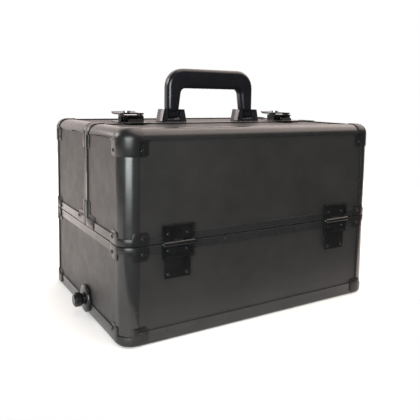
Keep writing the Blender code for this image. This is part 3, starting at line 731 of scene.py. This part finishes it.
# Where the rivets are, in millimetres
OUTSIDE_X, OUTSIDE_Y = 250, 200
TAB_RIVET_X, TAB_RIVET_Y = 153, 99
HINGE_X = 113
HINGE_RIVET_OFF = 11.25
MIDDLE_RIVET = (52, 101.5)
BASE_LEVELS, BASE_HINGE_LEVELS = (14, 97.5), (97.7, 72.3)
LID_LEVEL, LID_HINGE_LEVELS = 113.5, (115.5,)
CAP_LEVEL = KNEE_Z / MM - 11


def shown_surface(body):
    """What a ray meets on a body's shown pieces."""
    points, faces = [], []
    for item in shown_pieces():
        if body in (body_of(item) or ()):
            start = len(points)
            points += [item.matrix_world @ vert.co for vert in item.data.vertices]
            faces += [[start + index for index in face.vertices] for face in item.data.polygons]
    return BVHTree.FromPolygons(points, faces)


def rivet_places(body):
    """Where a body's rivets are, in millimetres outside the case, as (place, outward axis)."""
    places = []
    on_base = body == "base"
    sides = {"base": (-1, 1), "front_lid": (-1,), "rear_lid": (1,)}[body]
    levels = BASE_LEVELS if on_base else (LID_LEVEL, CAP_LEVEL)
    hinge_levels = BASE_HINGE_LEVELS if on_base else LID_HINGE_LEVELS
    for side in sides:
        facing = (0, side, 0)
        for sign in (-1, 1):
            for level in levels:
                places.append(((sign * TAB_RIVET_X, side * OUTSIDE_Y, level), facing))
                places.append(((sign * OUTSIDE_X, side * TAB_RIVET_Y, level), (sign, 0, 0)))
            for level in hinge_levels:
                for across in (-HINGE_RIVET_OFF, HINGE_RIVET_OFF):
                    places.append(((sign * HINGE_X + across, side * OUTSIDE_Y, level), facing))
            if on_base:
                places.append(((sign * MIDDLE_RIVET[0], side * OUTSIDE_Y, MIDDLE_RIVET[1]), facing))
                continue
            for out, level in ((6, CAP_LEVEL), (6, 131.5), (25, LID_LEVEL)):
                places.append(((sign * OUTSIDE_X, SPLIT_Y / MM + side * out, level), (sign, 0, 0)))
    return places


def add_rivets():
    """Each body's rivets as one piece, every head set where a ray from outside meets the body."""
    head = lathe([(radius * MM, height * MM) for radius, height in RIVET], 18)
    for body in ("base", "front_lid", "rear_lid"):
        met = shown_surface(body)
        bm = bmesh.new()
        for place, axis in rivet_places(body):
            out = Vector(axis)
            start = Vector(place) * MM
            hit = met.ray_cast(start, -out)[0]
            turn = Vector((0, 0, 1)).rotation_difference(out).to_matrix().to_4x4()
            copy = head.data.copy()
            copy.transform(Matrix.Translation(hit) @ turn)
            bm.from_mesh(copy)
            bpy.data.meshes.remove(copy)
        rivets = mesh_object("rivets", lambda empty: None)
        bm.to_mesh(rivets.data)
        bm.free()
        shade(rivets, math.radians(50))
        dress(rivets, body + "_rivets", body, "hardware")
    bpy.data.objects.remove(head, do_unlink=True)


add_rivets()


# ---------------------------------------------------------------- studio

CAMERA_PLACE = (-0.36527, -0.60606, 0.25884)
CAMERA_YAW, CAMERA_PITCH, CAMERA_ROLL = 31.531, 5.673, 0.918


def add_camera():
    """A camera just above the lid's height, turned by yaw to the right, pitch down and a small roll."""
    camera = bpy.data.objects.new("camera", bpy.data.cameras.new("camera"))
    bpy.context.scene.collection.objects.link(camera)
    yaw, pitch, roll = (math.radians(angle) for angle in (CAMERA_YAW, CAMERA_PITCH, CAMERA_ROLL))
    forward = Vector((math.sin(yaw) * math.cos(pitch), math.cos(yaw) * math.cos(pitch), -math.sin(pitch)))
    right = Vector((math.cos(yaw), -math.sin(yaw), 0))
    up = right.cross(forward)
    across = right * math.cos(roll) + up * math.sin(roll)
    above = up * math.cos(roll) - right * math.sin(roll)
    turn = Matrix((across, above, -forward)).transposed().to_4x4()
    camera.matrix_world = Matrix.Translation(CAMERA_PLACE) @ turn
    camera.data.sensor_width = 36
    camera.data.lens = 44.917
    camera.data.shift_x = -0.00797
    camera.data.shift_y = -0.14486
    camera.data.clip_start = 0.01
    bpy.context.scene.camera = camera


def add_light(name, place, aim, size, power, colour):
    light = bpy.data.objects.new(name, bpy.data.lights.new(name, "AREA"))
    bpy.context.scene.collection.objects.link(light)
    light.location = place
    light.rotation_mode = "QUATERNION"
    light.rotation_quaternion = (Vector(aim) - Vector(place)).to_track_quat("-Z", "Y")
    light.data.shape = "RECTANGLE"
    light.data.size, light.data.size_y = size
    light.data.energy = power
    light.data.color = colour


class World:
    """The studio's surroundings as a sum of soft patches of light, each round a direction."""

    def __init__(self):
        world = bpy.data.worlds.new("studio")
        bpy.context.scene.world = world
        world.use_nodes = True
        self.tree = world.node_tree
        self.tree.nodes.clear()
        self.coords = self.tree.nodes.new("ShaderNodeTexCoord").outputs["Generated"]
        self.total = None

    def patch(self, direction, start, end, colour):
        """Light that grows from nothing where a ray is start along the direction to full at end."""
        along = self.tree.nodes.new("ShaderNodeVectorMath")
        along.operation = "DOT_PRODUCT"
        along.inputs[1].default_value = Vector(direction).normalized()
        self.tree.links.new(self.coords, along.inputs[0])
        ramp = self.tree.nodes.new("ShaderNodeMapRange")
        ramp.interpolation_type = "SMOOTHSTEP"
        ramp.inputs["From Min"].default_value = start
        ramp.inputs["From Max"].default_value = end
        self.tree.links.new(along.outputs["Value"], ramp.inputs["Value"])
        lit = self.tree.nodes.new("ShaderNodeVectorMath")
        lit.operation = "SCALE"
        lit.inputs[0].default_value = colour
        self.tree.links.new(ramp.outputs["Result"], lit.inputs["Scale"])
        if self.total is None:
            self.total = lit.outputs["Vector"]
            return
        added = self.tree.nodes.new("ShaderNodeVectorMath")
        added.operation = "ADD"
        self.tree.links.new(self.total, added.inputs[0])
        self.tree.links.new(lit.outputs["Vector"], added.inputs[1])
        self.total = added.outputs["Vector"]

    def finish(self):
        """White to the camera, and the patches to everything else."""
        seen = self.tree.nodes.new("ShaderNodeLightPath")
        shown = self.tree.nodes.new("ShaderNodeMix")
        shown.data_type = "VECTOR"
        shown.inputs[5].default_value = (1, 1, 1)
        self.tree.links.new(seen.outputs["Is Camera Ray"], shown.inputs["Factor"])
        self.tree.links.new(self.total, shown.inputs[4])
        background = self.tree.nodes.new("ShaderNodeBackground")
        self.tree.links.new(shown.outputs[1], background.inputs["Color"])
        output = self.tree.nodes.new("ShaderNodeOutputWorld")
        self.tree.links.new(background.outputs["Background"], output.inputs["Surface"])


FLOOR_HALF = 0.95
FLOOR_IN_FRONT = 0.18
FLOOR_GAP = 0.4 * MM


def add_surroundings():
    """A bright patch behind the case and one above it to the right, in dim surroundings."""
    world = World()
    world.patch((0, 0, 1), -1.5, -1.2, (0.12, 0.12, 0.12))
    world.patch((0.30, 0.95, 0), 0.35, 0.8, (1.2, 1.03, 0.98))
    world.patch((0.50, -0.05, 0.86), 0.70, 0.90, (3.9, 3.3, 3.0))
    world.finish()


def add_floor():
    """A pale floor that ends a little in front of the case."""
    def build(bm):
        bmesh.ops.create_grid(bm, x_segments=1, y_segments=1, size=FLOOR_HALF)

    floor = mesh_object("floor", build)
    floor.location = (0, FLOOR_HALF - FLOOR_IN_FRONT, cad_low.z - FLOOR_GAP)
    pale = Finish("pale_floor", 0.6, specular=0.2)
    pale.colour(pale.mottled(3, 2, (0.93, 0.93, 0.93), (0.95, 0.95, 0.95)))
    floor.data.materials.append(pale.material)


def add_lights():
    """A cool softbox at the left front, and a warm light on the floor behind on the left."""
    add_light("softbox", (-1.25, -1.3, 0.5), (0, 0, 0.12), (1.2, 1.0), 60, (0.95, 1.0, 0.985))
    add_light("sweep", (-1.3, 1.5, 1.0), (-0.7, 0.8, 0), (0.9, 0.7), 20, (1.0, 0.90, 0.87))


add_camera()
add_surroundings()
add_floor()
add_lights()
bpy.context.scene.view_settings.view_transform = "Standard"
